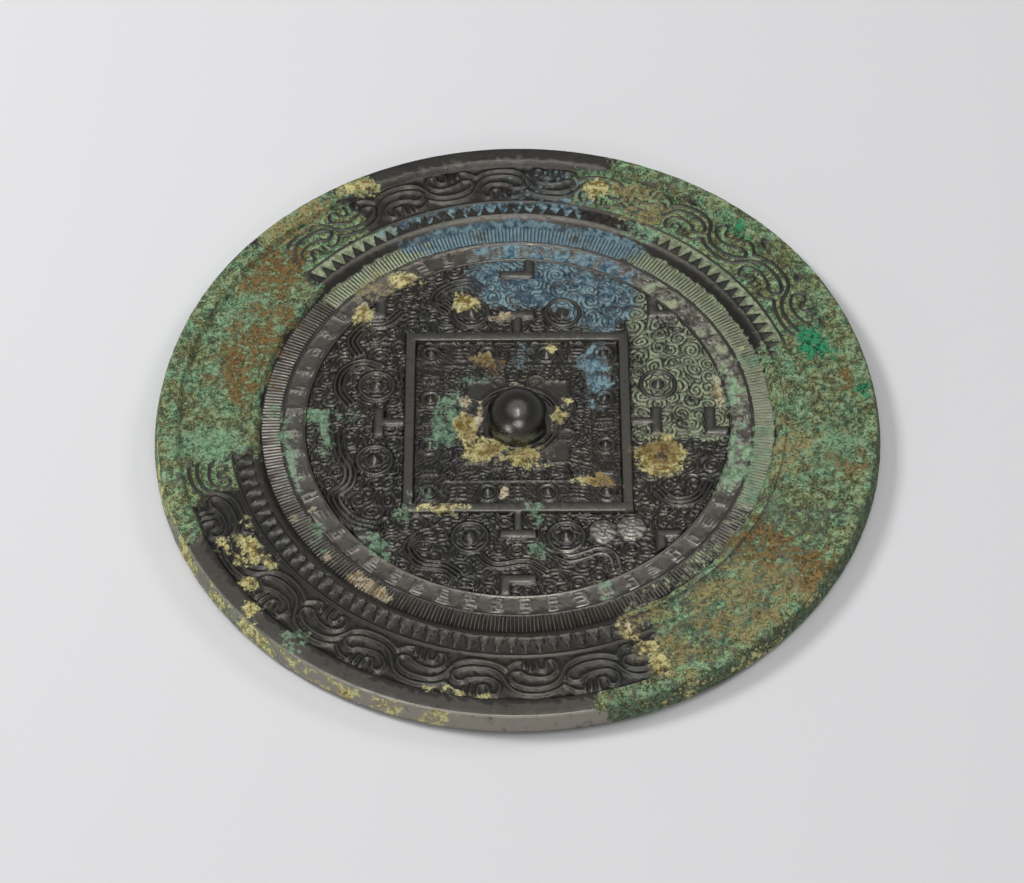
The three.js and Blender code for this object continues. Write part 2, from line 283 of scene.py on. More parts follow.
def scroll(angle, radius):
    """The running scroll: all waves are alike, so the strokes are drawn once, in one wave."""
    period = 360 / SCROLL_WAVES
    half = period / 2
    to_mm = math.radians(SCROLL_MIDDLE)
    shift = UPPER_RIGHT_SHIFT * np.exp(-((angle - UPPER_RIGHT_MIDDLE) / UPPER_RIGHT_SPREAD) ** 2)
    wave = (angle - shift - SCROLL_CREST + 0.5 * half) % period - 0.5 * half
    height = np.zeros(len(radius))
    for outward, middle in ((1, 0), (-1, half), (1, period), (-1, -half), (1, -period)):
        for line, share in BEND_LINES:
            path = smooth_path([((middle + u) * to_mm, outward * v) for u, v in line], 5)
            width = SCROLL_LINE_WIDTH * share
            stroke(height, wave * to_mm, radius - SCROLL_MIDDLE, path, width, SCROLL_RISE)
    return height


INSCRIPTION_GROUPS = 53


def inscription(angle, radius):
    """Groups of short shallow strokes, which aren't letters."""
    middle = (BAND_INNER + BAND_OUTER) / 2
    to_mm = math.radians(middle)
    around, across = angle * to_mm, radius - middle
    height = np.zeros(len(around))
    draw = np.random.default_rng(51)
    for group in range(INSCRIPTION_GROUPS):
        centre = wrapped(group * 360 / INSCRIPTION_GROUPS) * to_mm
        wide = draw.uniform(1.3, 1.8)
        count = draw.integers(4, 7)
        paths = []
        for line in range(count):
            at = 2.0 * (2 * line / (count - 1) - 1)
            ends = draw.uniform(0.3, 1.0, 2) * wide
            paths.append([(centre - ends[0], at), (centre + ends[1], at + draw.uniform(-0.2, 0.2))])
        for line in range(draw.integers(2, 4)):
            at = centre + draw.uniform(-1, 1) * wide
            low = draw.uniform(-2.2, -0.2)
            paths.append([(at, low), (at + draw.uniform(-0.3, 0.3), draw.uniform(0.2, 2.2))])
        for path in paths:
            stroke(height, around, across, path, INSCRIPTION_WIDTH, INSCRIPTION_RISE)
    return height


def rings_relief(p):
    height = sum(thin_line(p.radius, at) for at in (SCROLL_LINE - 0.2, BAND_OUTER, BAND_INNER))
    waves = (p.radius > SCROLL_LINE - 1) & (p.radius < RIM_INNER + 1)
    signs = (p.radius > BAND_INNER + 0.4) & (p.radius < BAND_OUTER - 0.2)
    height = height + saw_teeth(p) + comb_teeth(p) + where_chosen(waves, scroll, p.angle, p.radius)
    return height + where_chosen(signs, inscription, p.angle, p.radius)


# Field and square
def bar(x, y, low, high):
    """A raised bar with a round top: low and high are its corners."""
    inside = np.min([x - low[0], high[0] - x, y - low[1], high[1] - y], axis=0)
    return rounded(inside, MARK_ROUND, MARK_RISE)


def square_frame(x, y):
    inside = FRAME_HALF - np.maximum(np.abs(x), np.abs(y))
    return rounded(np.minimum(inside, FRAME_BAR - inside), FRAME_ROUND, FRAME_RISE)


# The low and high corners of the two bars of the T, of the L and of the V
MARK_BARS = [
    ((-1.3, FRAME_HALF - 1), (1.3, FRAME_HALF + 6)),
    ((-4.8, FRAME_HALF + 5), (4.8, FRAME_HALF + 8)),
    ((-4.8, BAND_INNER - 6.8), (4.8, BAND_INNER - 3.8)),
    ((1.8, BAND_INNER - 6.8), (4.8, BAND_INNER + 0.2)),
    ((35, 35), (38, 43.7)),
    ((35, 35), (43.7, 38)),
]


def marks(x, y):
    """The T, the L and the V of the game board, four times each."""
    height = np.zeros(x.shape)
    for c, s in QUARTERS:
        u, v = c * x + s * y, c * y - s * x
        for low, high in MARK_BARS:
            np.maximum(height, bar(u, v, low, high), out=height)
    return height


def ridge(away, at, half, rise):
    """A round-topped ridge along a ring or an outline."""
    return rise * np.clip(1 - ((away - at) / half) ** 2, 0, 1)


def pyramid(away, angle, radius, rise):
    """A low pyramid with eight sides."""
    turn = math.pi / 4
    return rise * np.clip(1 - away * np.cos((angle + 0.2) % turn - turn / 2) / radius, 0, 1)


def boss(height, x, y, place, reach, parts):
    """Clears the ground round a boss and sets its parts there, each a function of distance and angle."""
    away = np.hypot(x - place[0], y - place[1])
    near = np.nonzero(away < reach)[0]
    away = away[near]
    angle = np.arctan2(y[near] - place[1], x[near] - place[0])
    height[near] = np.max([part(away, angle) for part in parts], axis=0)


SMALL_BOSS_PLACES = in_each_quarter([(-BOSS_ROW, BOSS_ROW), (-BOSS_NEAR, BOSS_ROW), (BOSS_NEAR, BOSS_ROW)])
LARGE_BOSS_PLACES = in_each_quarter([(side * LARGE_BOSS_OFFSET, LARGE_BOSS_ROW) for side in (-1, 1)])
SMALL_BOSS = [
    lambda away, angle: 0.12 * (away < 2.9),
    lambda away, angle: ridge(away, 2.5, 0.45, 0.5),
    lambda away, angle: pyramid(away, angle, 1.55, 2.0),
]
LARGE_BOSS = [
    lambda away, angle: 0.12 * (away < 5.2),
    lambda away, angle: ridge(away, 4.55, 0.8, 0.7),
    lambda away, angle: ridge(away, 3.6 - 0.75 * np.abs(np.cos(4 * angle)), 0.32, 0.42),
    lambda away, angle: ridge(away, 2.2, 0.3, 0.3),
    lambda away, angle: pyramid(away, angle, 1.95, 2.45),
]


def calyx(x, y):
    """Four leaves that point to the square's corners, with two round lobes each, and a raised outline."""
    height = np.zeros(x.shape)
    for quarter in range(4):
        angle = math.radians(45 + 90 * quarter)
        u = x * math.cos(angle) + y * math.sin(angle)
        v = np.abs(y * math.cos(angle) - x * math.sin(angle))
        blade = np.minimum(u - 11, (20.5 - u) * 0.75 + 0.5 * np.sin(np.clip(u - 14, 0, 6)) - v)
        lobe = 3.1 - np.hypot(u - 12.6, v - 5.4)
        body = np.maximum(12.0 - np.hypot(x, y), np.maximum(np.minimum(blade, 20.5 - u), lobe))
        leaf = 0.7 * LEAF_RISE * step(body, 0, 0.3) + ridge(body, 0.5, 0.45, 0.35)
        curl = ridge(np.hypot(u - 12.9, v - 5.6), 1.2, 0.4, 0.25) * (u > 12.3)
        np.maximum(height, leaf + curl, out=height)
    return height


# Main animal figures of the field, as bundles of thin lines: each path, and the distances of its lines
FIGURES = [
    ([(-47, -4), (-46, -10), (-43.5, -15), (-44, -20), (-47.5, -23.5), (-46, -28), (-42, -32), (-37, -33.5)],
     (-1.4, 0, 1.4)),
    ([(9, -42), (13, -44), (17, -43), (21, -41.5), (24, -43), (25, -47)], (-0.9, 0.9)),
    ([(-25, -36), (-28, -40), (-25, -45), (-19, -46), (-15, -49)], (-1.2, 0, 1.2)),
    ([(-8, -37), (-10, -42), (-6, -46), (2, -45), (7, -48)], (-0.8, 0.8)),
    ([(-18, 38), (-22, 42), (-19, 46), (-13, 48), (-9, 45)], (-1.2, 0, 1.2)),
    ([(-31, 38), (-35, 34), (-40, 33), (-44, 28), (-42, 23)], (-1.2, 0, 1.2)),
    ([(-36, 18), (-41, 20), (-46, 17), (-47, 11), (-44, 6)], (-1.2, 0, 1.2)),
    ([(36, -22), (40, -26), (46, -25), (49, -20)], (-1.2, 0, 1.2)),
]
# Place and radius of their two rounded bodies
BODIES = [((21.8, -35.5), 3.9), ((29, -34.5), 4.2)]
BODY_RISE = 0.75


def rounded_body(away, angle, size):
    net = 0.12 * np.cos(2 * math.pi * away / 1.1) + 0.1 * np.cos(9 * angle)
    return BODY_RISE * np.sqrt(1 - (away / size) ** 2) + net


def offset_path(path, distance):
    direction = np.gradient(path, axis=0)
    direction /= np.linalg.norm(direction, axis=1, keepdims=True) + 1e-9
    return path + distance * np.stack([-direction[:, 1], direction[:, 0]], 1)


def spiral_fill(x, y, cell, pitch, rise):
    """Curls packed side by side, each wound round a seed of its own, with wavering lines."""
    wander = 0.22 * cell
    strength = rise * (0.6 + 0.5 * noise(x, y, 3.0, 6.0))
    x, y = x + wander * rough(x, y, 1.6 * cell, 2, 2.0), y + wander * rough(x, y, 1.6 * cell, 2, 5.0)
    column, row = np.floor(x / cell), np.floor(y / cell)
    nearest = np.full(x.shape, 99.0)
    winding = np.zeros(x.shape)
    for i in (-1, 0, 1):
        for j in (-1, 0, 1):
            u, v = (column + i).astype(int) % 256, (row + j).astype(int) % 256
            chance = LATTICE[v, u], LATTICE[(v + 90) % 256, u], LATTICE[v, (u + 70) % 256]
            dx = x - (column + i + 0.15 + 0.7 * chance[0]) * cell
            dy = y - (row + j + 0.15 + 0.7 * chance[1]) * cell
            away = np.hypot(dx, dy)
            closer = away < nearest
            nearest = np.where(closer, away, nearest)
            hand = np.where(chance[2] > 0.5, 1, -1)
            winding = np.where(closer, hand * np.arctan2(dy, dx) / (2 * math.pi) + chance[2], winding)
    return strength * step(np.cos(2 * math.pi * (nearest / pitch + winding)), -0.3, 0.9)


def outer_field(x, y):
    """The animals and scrolls between the square and the inscription."""
    lines = []
    for path, distances in FIGURES:
        curve = smooth_path(path, 6)
        lines += [offset_path(curve, distance) for distance in distances]
    height = spiral_fill(x, y, 4.4, 1.15, 0.42)
    for path in lines:
        near, away = distance_to(path, x, y, 1.3)
        height[near] *= step(away, 0.5, 1.0)
    for path in lines:
        stroke(height, x, y, path, 0.95, 0.6)
    for place, size in BODIES:
        boss(height, x, y, place, size, [lambda away, angle: rounded_body(away, angle, size)])
    raised = marks(x, y)
    np.copyto(height, raised, where=raised > 0.05)
    for place in LARGE_BOSS_PLACES:
        boss(height, x, y, place, 5.5, LARGE_BOSS)
    return height


def branch_strokes(height, x, y, draw):
    """Groups of strokes between the twelve small bosses."""
    for quarter in range(4):
        for at in (-15.3, 0, 15.3):
            paths = []
            for line in range(4):
                tilt = draw.uniform(-0.3, 0.3)
                row = BOSS_ROW - 1.8 + 1.2 * line
                left, right = at - draw.uniform(1.2, 2.2), at + draw.uniform(1.2, 2.2)
                paths.append([(left, row + tilt), (right, row - tilt)])
            for line in range(2):
                px = at + draw.uniform(-1.6, 1.6)
                paths.append([(px, BOSS_ROW - 2.2), (px + draw.uniform(-0.4, 0.4), BOSS_ROW + 2.2)])
            for path in paths:
                stroke(height, x, y, turned(path, quarter), SMALL_STROKE_WIDTH, SMALL_STROKE_RISE)


def inner_square(x, y):
    """What lies between the knob and the square frame."""
    half = np.maximum(np.abs(x), np.abs(y))
    height = spiral_fill(x, y, 3.4, 1.0, 0.34) * np.where(half < INNER_LINE, 1.0, 0.5)
    np.maximum(height, ridge(half, INNER_LINE, 0.3, 0.3), out=height)
    branch_strokes(height, x, y, np.random.default_rng(17))
    leaves = calyx(x, y)
    np.copyto(height, leaves, where=leaves > 0.02)
    height += ridge(np.hypot(x, y), RING_RADIUS, 0.5, 0.45)
    for place in SMALL_BOSS_PLACES:
        boss(height, x, y, place, 3.1, SMALL_BOSS)
    return height


def field_relief(p):
    half = np.maximum(np.abs(p.x), np.abs(p.y))
    inner = where_chosen(half < FRAME_HALF - FRAME_BAR + 0.3, inner_square, p.x, p.y)
    outer = where_chosen(half > FRAME_HALF - 0.4, outer_field, p.x, p.y)
    return np.maximum(inner + outer, square_frame(p.x, p.y))


# Corrosion. Each area gives how far a place is inside its edge, in millimetres.
RING_SHARPNESS = 4


def sector(p, start, end, inner, outer=99.0, most=99.0):
    """Part of a ring, with sharp round edges and ragged ends. Where most is low, noise breaks it up."""
    middle, half = (start + end) / 2, (end - start) / 2
    sideways = (half - np.abs(wrapped(p.angle - middle))) * np.radians(p.radius)
    across = RING_SHARPNESS * np.minimum(p.radius - inner, outer - p.radius)
    return np.minimum(np.minimum(sideways, across), most)


def patch(p, x, y, long, short=None, turn=0.0):
    short = short or long
    c, s = math.cos(math.radians(turn)), math.sin(math.radians(turn))
    u, v = (p.x - x) * c + (p.y - y) * s, (p.y - y) * c - (p.x - x) * s
    return (1 - np.hypot(u / long, v / short)) * min(long, short)


def spot(p, angle, radius, around, across):
    """A patch on the rings, given by its place and its size along and across them."""
    turn = math.radians(angle)
    return patch(p, radius * math.cos(turn), radius * math.sin(turn), around, across, angle + 90)


def union(*areas):
    return reduce(np.maximum, areas)


def sectors(p, places):
    return union(*[sector(p, *place) for place in places])


def spots(p, places):
    return union(*[spot(p, *place) for place in places])


def patches(p, places):
    return union(*[patch(p, *place) for place in places])


def wander(p):
    """How far the large edges stray from the plain outlines, in millimetres."""
    return 3.0 * rough(p.x, p.y, 11.0, 3, 11.0)


def thick_crust(p):
    """Crust that hides the ornament."""
    return wander(p) + sectors(p, [
        (139, 190, 67.3), (-66, 20, 67.0), (186, 205, 88.4), (-78, -60, 88.4), (10, 72.5, 88.2),
        (116, 121, 88.4, 93.4), (124, 141, 88.4),
    ])


def thin_crust(p):
    """Green on the floor of the scroll."""
    rings = sectors(p, [(15, 80, 75, 88.8), (190, 198, 75, 88)])
    return union(rings, sector(p, 120, 141, 75, 88.8) - 1.5) + wander(p)


def film(p):
    """Pale thin crust, with the ornament dark and clear on it."""
    field = np.minimum(p.x - 29.9, np.minimum(p.y + 6, RING_SHARPNESS * (BAND_INNER - p.radius)))
    return union(np.minimum(field, 0.9), sectors(p, [
        (-26, 62, 62, 67.3), (-66, -20, 62, 67.3, -0.35), (108, 141, 62, 67.2), (15, 62, 70, 75.2),
        (117, 138, 70, 75), (-24, 58, 55.9, 61.6, 0.0),
    ]))


def blue_stain(p):
    rings = [
        (76, 121, 70, 75.2, -0.2), (75, 92, 75.6, 87, -0.9), (60, 117, 62, 68.2), (56, 101, 55.9, 61.6, -0.1),
    ]
    places = [
        (9, 49, 23, 10), (22, 40, 9, 8), (21, 17, 3.4, 9), (1, 22.5, 1.4, 2.6), (27.5, 12, 1.2, 4.5),
        (21, 30, 4, 2),
    ]
    return union(sectors(p, rings), patches(p, places))


def ochre_spots(p):
    """Small compact spots, and a ring of crust round a boss."""
    away = np.hypot(p.x - 37.5, p.y + 11.5)
    places = [
        (-13, -3, 3.0, 5.4), (-9, -9.6, 7.0, 3.6, 14), (-0.5, -11.2, 6.4, 2.7, -5), (20, -19.6, 3.4, 1.7),
        (-18.5, -28.4, 4.4, 1.0), (-8.5, 21.4, 2.2, 1.5), (8.7, 24.8, 1.3, 1.0), (-14, 41, 3.2, 3.4),
        (-41, 37, 2.6, 4), (-31, 49, 3, 1.8), (10.5, 2.0, 0.8, 2.0), (12.5, 6.5, 1.1, 1.0),
    ]
    round_places = [
        (74.3, 83, 3, 3.2), (22.5, 65.3, 2.6, 1.8), (118.5, 90.7, 3.4, 2.4), (209, 85, 2.2, 1.8),
        (211.5, 80.4, 4, 2.0), (215.5, 78, 3, 1.7), (213, 84, 1.7, 1.3), (218, 86, 1.6, 1.6),
        (223, 91, 1.9, 2.2), (261, 87.4, 3.4, 0.8), (207, 76.5, 1.8, 1.2), (291, 72.5, 2, 2.4),
        (294, 82, 2, 5),
    ]
    ring = np.minimum(6.4 - away, 2.5 * (away - 1.7))
    return union(ring, patches(p, places), spots(p, round_places))


def tan_zones(p):
    """Broken ochre and brown in the green crust."""
    zones = [
        (316, 81, 17, 10), (296, 80, 7, 11), (66, 81, 8, 6), (132, 91, 9, 3), (131, 60, 6, 3.5),
        (350, 72, 6, 5),
    ]
    return np.minimum(spots(p, zones), 0.8) + 0.4 * wander(p)


def rust_spots(p):
    zones = [
        (-70, 28, 13, 8, 65), (-66, 50, 9, 6, 40), (-73, 12, 8, 5), (62, -42, 7, 5), (84, -16, 5, 3),
        (76, -50, 8, 4, -40), (88, 10, 3, 1.6, 80), (36.5, -10, 2.6, 2), (-3, -10.8, 2, 0.8),
        (-13.5, -4, 0.9, 1.8), (-8.5, 20.8, 1.2, 0.6), (21, -20, 1.3, 0.8),
    ]
    return np.minimum(patches(p, zones), 0.5) + 0.4 * wander(p)


def mint_spots(p):
    places = [
        (-81, -9, 8, 5), (-18.3, -1, 3.4, 7.5), (5, -28.2, 1.2, 1.6), (-29, -28.5, 1, 1.4),
        (-24, -22, 1.6, 1.1), (5, -41, 1.6, 1.2), (22.3, -55.5, 1.7, 2.6), (-36.5, -39.5, 1.8, 4.2, 25),
        (-52, 3.4, 3.4, 1.3), (-50, -1, 1.1, 3.2), (56, 10, 1.2, 3.4), (62, 20, 3, 2), (-74, 36, 7, 3, 60),
        (-12, 13.5, 1.6, 1),
    ]
    round_places = [(231.8, 89.4, 1.5, 2.2), (196, 60.4, 9, 1), (352, 84, 6, 4)]
    rings = sectors(p, [(57.5, 65.5, 69, 74.4), (336, 359, 55.9, 66.8, -0.2)])
    return np.minimum(union(rings, patches(p, places), spots(p, round_places)), 0.9)


def emerald_spots(p):
    return spots(p, [(17.2, 82, 5, 4.2), (47.5, 90, 3, 1.6), (5, 91, 2, 1.4)])


def pale_specks(p):
    places = [
        (53, 9.5, 1.0, 3.8, 8), (-53, -28, 1.2, 1.8), (-3.5, -22.5, 0.8, 1.3), (-13.5, 7, 1.6, 1.4),
        (0, 12.6, 1.6, 0.8), (-9.9, 1, 0.8, 4), (-4, 35.4, 2.2, 1.1),
    ]
    rings = [(229, 241, 62.4, 67), (207, 209, 62.5, 67), (221, 223, 62.5, 67), (291, 293, 70.4, 74.6)]
    return union(patches(p, places), sectors(p, rings) - 0.7)


def crust_height(p):
    """Thickness of the crust, in millimetres."""
    x, y = p.x, p.y
    bed = step(thick_crust(p) + 0.8 * rough(x, y, 2.5, 3), -0.1, 0.7)
    lumps = 0.21 + 0.14 * rough(x, y, 5.0, 2, 9.0) + 0.2 * rough(x, y, 1.9, 3, 4.0)
    pits = 0.24 * step(noise(x, y, 1.3, 8.0), 0.7, 0.85)
    thin = 0.05 * step(union(thin_crust(p), film(p)) + rough(x, y, 2.0, 3), 0, 1)
    thin = thin * (1 + rough(x, y, 0.8, 2, 6.0))
    heaps = step(union(ochre_spots(p), mint_spots(p)) + rough(x, y, 1.6, 3, 6.5), 0, 0.8)
    heaps = heaps * (0.12 + 0.16 * rough(x, y, 1.4, 2, 2.5))
    return bed * (np.maximum(lumps, 0.02) - pits) + np.maximum(thin, heaps)


def buried(p):
    """How much of the ornament the crust hides, from 0 to 1."""
    stray = wander(p) + rough(p.x, p.y, 3.0, 2)
    full = sectors(p, [(139, 190, 67.5), (-22, 19, 67.2)])
    partly = sector(p, -66, -20, 67.2)
    return np.maximum(0.93 * step(full + stray, -0.3, 1.5), 0.55 * step(partly + stray, -0.3, 1.5))


def grain(p):
    """Fine unevenness of the old casting."""
    return 0.02 * rough(p.x, p.y, 2.4, 2, 1.0) + 0.012 * rough(p.x, p.y, 0.6, 2, 7.0)


# Rows of the mesh
def row_block(radii, shares, columns):
    """Rows that are circles where the share is 0 and squares where it is 1. It returns x and y."""
    angle = (np.arange(columns) + 0.5) * 2 * math.pi / columns
    c, s = np.cos(angle), np.sin(angle)
    radii, shares = np.reshape(radii, (-1, 1)), np.reshape(shares, (-1, 1))
    reach = (1 - shares) + shares / np.maximum(np.abs(c), np.abs(s))
    return radii * reach * c, radii * reach * s


def circles(radii, columns):
    return row_block(radii, np.zeros(len(radii)), columns)


def steps_between(low, high, size=ROW_STEP):
    count = max(1, int(round((high - low) / size)))
    return np.linspace(low, high, count + 1)


def with_keys(values, keys):
    """The values, with the nearest one moved to each key."""
    values = values.copy()
    for key in keys:
        values[np.abs(values - key).argmin()] = key
    return values


def knob_rows(columns):
    """The dome and its straight foot."""
    foot = level(FIELD_HEIGHT) + KNOB_FOOT
    rise = np.radians(np.linspace(89, 0, 30))
    radii = [*(KNOB_RADIUS * np.cos(rise)), KNOB_RADIUS + 0.02, KNOB_RADIUS + 0.05]
    heights = [*(foot + KNOB_RADIUS * np.sin(rise)), foot - 0.8, level(FIELD_HEIGHT + LEAF_RISE)]
    x, y = circles(radii, columns)
    return x, y, np.repeat(np.array(heights)[:, None], columns, 1)


RING_EDGES = [
    BAND_INNER, BAND_INNER + 0.5, BAND_OUTER - 0.5, BAND_OUTER, BAND_OUTER + 0.5, COMB_OUTER,
    PLAIN_BAND_INNER, SAW_ROOT, SAW_ROOT + 0.15, SCROLL_LINE - 0.6, SCROLL_LINE, SCROLL_LINE + 0.4,
    RIM_INNER - 0.5, RIM_INNER + 0.15,
]


def ornament_rows():
    """Rows from the knob out to the rim: their radii or half sides, how square they are, and samples."""
    seat = steps_between(KNOB_RADIUS + 0.1, SEAT_RADIUS)
    inner = steps_between(0, 1, ROW_STEP / 12)
    halves = SEAT_RADIUS + 0.2 + (FRAME_HALF - FRAME_BAR - SEAT_RADIUS - 0.2) * inner
    bars = steps_between(FRAME_HALF - FRAME_BAR, FRAME_HALF, ROW_STEP * 0.8)[1:]
    field = steps_between(0, 1, ROW_STEP / (BAND_INNER - FRAME_HALF))[1:]
    rings = with_keys(steps_between(BAND_INNER - 0.4, EDGE_RADIUS - RIM_WALL_SLANT - 0.35), RING_EDGES)
    return [
        (seat, 0 * seat, COLUMNS // 4),
        (halves, inner ** 0.7, COLUMNS // 2),
        (bars, 0 * bars + 1, COLUMNS // 2),
        (FRAME_HALF + (BAND_INNER - 0.5 - FRAME_HALF) * field, (1 - field) ** 0.8, COLUMNS // 2),
        (rings, 0 * rings, COLUMNS),
    ]


def finish_rows(x, y):
    """Heights of the ornamented side at these places."""
    p = Places(x, y)
    outside = (p.radius > BAND_INNER - 0.6).all()
    relief = rings_relief(p) if outside else field_relief(p)
    hidden = buried(p)
    worn = relief * (1 - hidden) + 0.25 * hidden * (relief > 0.3)
    return x, y, level(ring_profile(p.radius)) + worn + crust_height(p) + grain(p)


def wall_rows(columns):
    """The side wall, rounded at its upper edge, with crust on it, down to the round below."""
    top = level(RIM_HEIGHT)
    start = EDGE_RADIUS - RIM_WALL_SLANT
    profile = [(start - 0.12, top - 0.02), (start + 0.06, top - 0.12), (start + 0.16, top - 0.36)]
    high, low = np.array(profile[2]), np.array((EDGE_RADIUS - 0.06, level(BOTTOM_ROUND) + 0.2))
    shares = np.linspace(0, 1, 16)[1:]
    profile += [tuple(high * (1 - share) + low * share) for share in shares]
    profile += [(EDGE_RADIUS, level(0.55)), (EDGE_RADIUS - 0.25, level(0.2))]
    profile.append((EDGE_RADIUS - BOTTOM_ROUND, level(0)))
    radii, heights = np.array(profile).T
    x, y = circles(radii, columns)
    p = Places(x, y)
    along = Places(x + heights[:, None] * 3.1, y - heights[:, None] * 2.3)
    covered = step(wall_crust(p) + 1.5 * rough(along.x, along.y, 4, 3), -0.2, 0.8)
    swell = covered * (0.12 + 0.13 * rough(along.x, along.y, 1.6, 3)) + 0.02 * rough(along.x, along.y, 1.2, 2)
    fade = np.sin(np.linspace(0.05, 1, len(profile)) * math.pi) ** 0.5
    push = 1 + swell * fade[:, None] / EDGE_RADIUS
    return x * push, y * push, np.repeat(heights[:, None], columns, 1)


def wall_crust(p):
    """Crust on the side wall: whole for the most part, and broken at the near left."""
    whole = sectors(p, [(112, 200, 90, 99, 6), (283, 435, 90, 99, 6)])
    return union(whole, sector(p, 198, 262, 90, 99, 1) - 1.7, sector(p, 196, 232, 90, 99, 1) - 0.6)


def wall_ochre(p):
    return union(sector(p, 185, 262, 90, 99, 1) - 1.3, sector(p, 283, 330, 90, 99, 1) - 1.9)


def underside_height(radius):
    curved = EDGE_RADIUS - BOTTOM_ROUND - UNDERSIDE_FLAT_RADIUS
    return UNDERSIDE_RISE * np.clip((radius - UNDERSIDE_FLAT_RADIUS) / curved, 0, 1) ** 2


def underside_rows(columns):
    radii = np.append(np.linspace(EDGE_RADIUS - BOTTOM_ROUND - 1.5, 2, 60), 0.4)
    x, y = circles(radii, columns)
    p = Places(x, y)
    lumps = 0.1 * np.maximum(rough(x, y, 2.0, 3, 5.0), -0.3) * (p.radius > UNDERSIDE_FLAT_RADIUS + 2)
    z = underside_height(p.radius) + step(underside_crust(p), -4, 4) * lumps
    return x, y, np.maximum(z, 0)


def underside_crust(p):
    """Crust below, near the edge."""
    return 0.5 * (p.radius - 69) + 6 * rough(p.x, p.y, 22, 3, 2.0)


def casting_mesh():
    """All rows joined into one closed mesh."""
    ornament = [finish_rows(*row_block(*rows)) for rows in ornament_rows()]
    blocks = [knob_rows(COLUMNS // 8), *ornament, wall_rows(COLUMNS), underside_rows(COLUMNS // 8)]
    points = [np.array([[0, 0, blocks[0][2][0, 0] + 0.005]])]
    rows = []
    total = 1
    for x, y, z in blocks:
        for i in range(len(x)):
            rows.append((total, x.shape[1]))
            total += x.shape[1]
        points.append(np.stack([x, y, z], -1).reshape(-1, 3))
    points.append(np.array([[0, 0, 0]]))
    faces = [fan(0, rows[0], False)]
    faces += [strip(row, following) for row, following in zip(rows[:-1], rows[1:])]
    faces.append(fan(total, rows[-1], True))
    return mesh_of(np.vstack(points) * MM, np.vstack(faces))


def mesh_of(vertices, triangles):
    mesh = bpy.data.meshes.new("cast_mirror")
    mesh.vertices.add(len(vertices))
    mesh.vertices.foreach_set("co", vertices.ravel().astype(np.float32))
    mesh.loops.add(triangles.size)
    mesh.loops.foreach_set("vertex_index", triangles.ravel().astype(np.int32))
    mesh.polygons.add(len(triangles))
    mesh.polygons.foreach_set("loop_start", np.arange(0, triangles.size, 3, dtype=np.int32))
    mesh.update(calc_edges=True)
    mesh.validate()
    return mesh


def fan(centre, row, flipped):
    start, count = row
    here = start + np.arange(count)
    ends = [here, np.roll(here, -1)]
    return np.stack([np.full(count, centre), *(ends[::-1] if flipped else ends)], 1)


def strip(row, following):
    """Triangles between two rows. One has a whole number of times the other's samples."""
    flipped = row[1] > following[1]
    (a, n), (b, m) = (following, row) if flipped else (row, following)
    times = m // n
    i = np.arange(m)
    last = i[times - 1::times]
    faces = np.vstack([
        np.stack([a + i // times, b + i, b + (i + 1) % m], 1),
        np.stack([a + last // times, b + (last + 1) % m, a + (last // times + 1) % n], 1),
    ])
    return faces[:, ::-1] if flipped else faces


def placed(name, data):
    piece = bpy.data.objects.new(name, data)
    bpy.context.scene.collection.objects.link(piece)
    return piece


def cord_hole():
    """The cutter: an arch that widens a little at both mouths."""
    half = HOLE_WIDTH / 2
    arch = HOLE_HEIGHT - HOLE_WALL
    turns = np.linspace(0, math.pi, 17)
    outline = [(half, 0.0)]
    outline += [(half * math.cos(turn), HOLE_WALL + arch * math.sin(turn)) for turn in turns]
    outline.append((-half, 0.0))
    right = [(6.4, 1.02), (7.6, 1.1), (8.6, 1.25), (12.0, 1.25)]
    stations = [(-x, wide) for x, wide in right[::-1]] + [(0, 1.0)] + right
    floor = level(FIELD_HEIGHT + LEAF_RISE)
    vertices = []
    for x, wide in stations:
        vertices += [(x * MM, y * wide * MM, (floor + z * wide) * MM) for y, z in outline]
    count = len(outline)
    last = count * (len(stations) - 1)
    faces = [list(range(count))[::-1], list(range(last, last + count))]
    for base in range(0, last, count):
        for i in range(count):
            j = (i + 1) % count
            faces.append((base + i, base + j, base + count + j, base + count + i))
    mesh = bpy.data.meshes.new("cord_hole")
    mesh.from_pydata(vertices, [], faces)
    mesh.update()
    return placed("cord_hole", mesh)


def evaluated(piece):
    graph = bpy.context.evaluated_depsgraph_get()
    graph.update()
    return bpy.data.meshes.new_from_object(piece.evaluated_get(graph))


def casting():
    piece = placed("cast_mirror", casting_mesh())
    cutter = cord_hole()
    cut = piece.modifiers.new("cut", "BOOLEAN")
    cut.operation = "DIFFERENCE"
    cut.solver = "MANIFOLD"
    cut.object = cutter
    thin = piece.modifiers.new("thin", "DECIMATE")
    thin.ratio = TRIANGLES / len(piece.data.polygons)
    thinned = evaluated(piece)
    piece.modifiers.clear()
    piece.data = thinned
    thinned.name = "cast_mirror"
    bpy.data.objects.remove(cutter)
    add_masks(thinned)
    thinned.shade_smooth()
    thinned.set_sharp_from_angle(angle=math.radians(SHARP_ANGLE))
    even = piece.modifiers.new("even", "WEIGHTED_NORMAL")
    even.keep_sharp = True
    return piece


CORROSION = {
    "green": thin_crust, "film": film, "thick": thick_crust, "blue": blue_stain, "tan": tan_zones,
    "rust": rust_spots, "ochre": ochre_spots, "mint": mint_spots, "emerald": emerald_spots,
    "pale": pale_specks,
}
# Places where the raised metal is painted paler: silvery metal, which also stands for highlights.
BRIGHT_PLACES = [(25.5, -35, 8.5, 5), (19, -43.5, 8, 3, -12), (47.5, -17, 4, 3), (-44, -22, 2, 9)]


